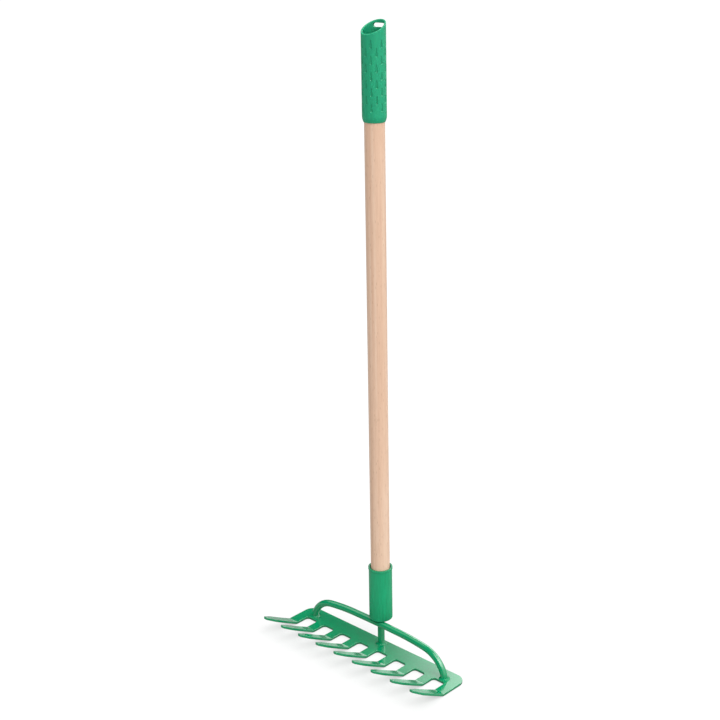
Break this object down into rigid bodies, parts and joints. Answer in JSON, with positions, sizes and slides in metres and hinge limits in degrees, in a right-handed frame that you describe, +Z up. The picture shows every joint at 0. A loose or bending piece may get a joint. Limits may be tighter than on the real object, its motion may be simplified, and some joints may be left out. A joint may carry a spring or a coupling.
{
  "type": "garden bow rake",
  "caption": "Small bow rake standing on its flat steel head, with up-curled tines, a bent-rod bow, a plastic socket, a wooden pole and a plastic grip with a slanted hollow end.",
  "frame": {"origin": "underside of the tine plate, on the axis of the pole", "axes": "+Z up along the pole, X along the head, tines towards -Y"},
  "size_m": [0.249, 0.0949, 0.7293],
  "materials": {
    "painted_steel": "gloss",
    "socket_plastic": "satin",
    "grip_plastic": "satin",
    "beech": "sanded",
    "zinc_screw": "zinc plated"
  },
  "bodies": {
    "root": {"tine_plate": "painted_steel", "bow": "painted_steel", "stem": "painted_steel", "left_foot_weld": "painted_steel", "right_foot_weld": "painted_steel", "stem_foot_weld": "painted_steel", "crossing_weld": "painted_steel", "socket": "socket_plastic", "socket_screw": "zinc_screw", "pole": "beech", "grip": "grip_plastic"}
  },
  "joints": []
}
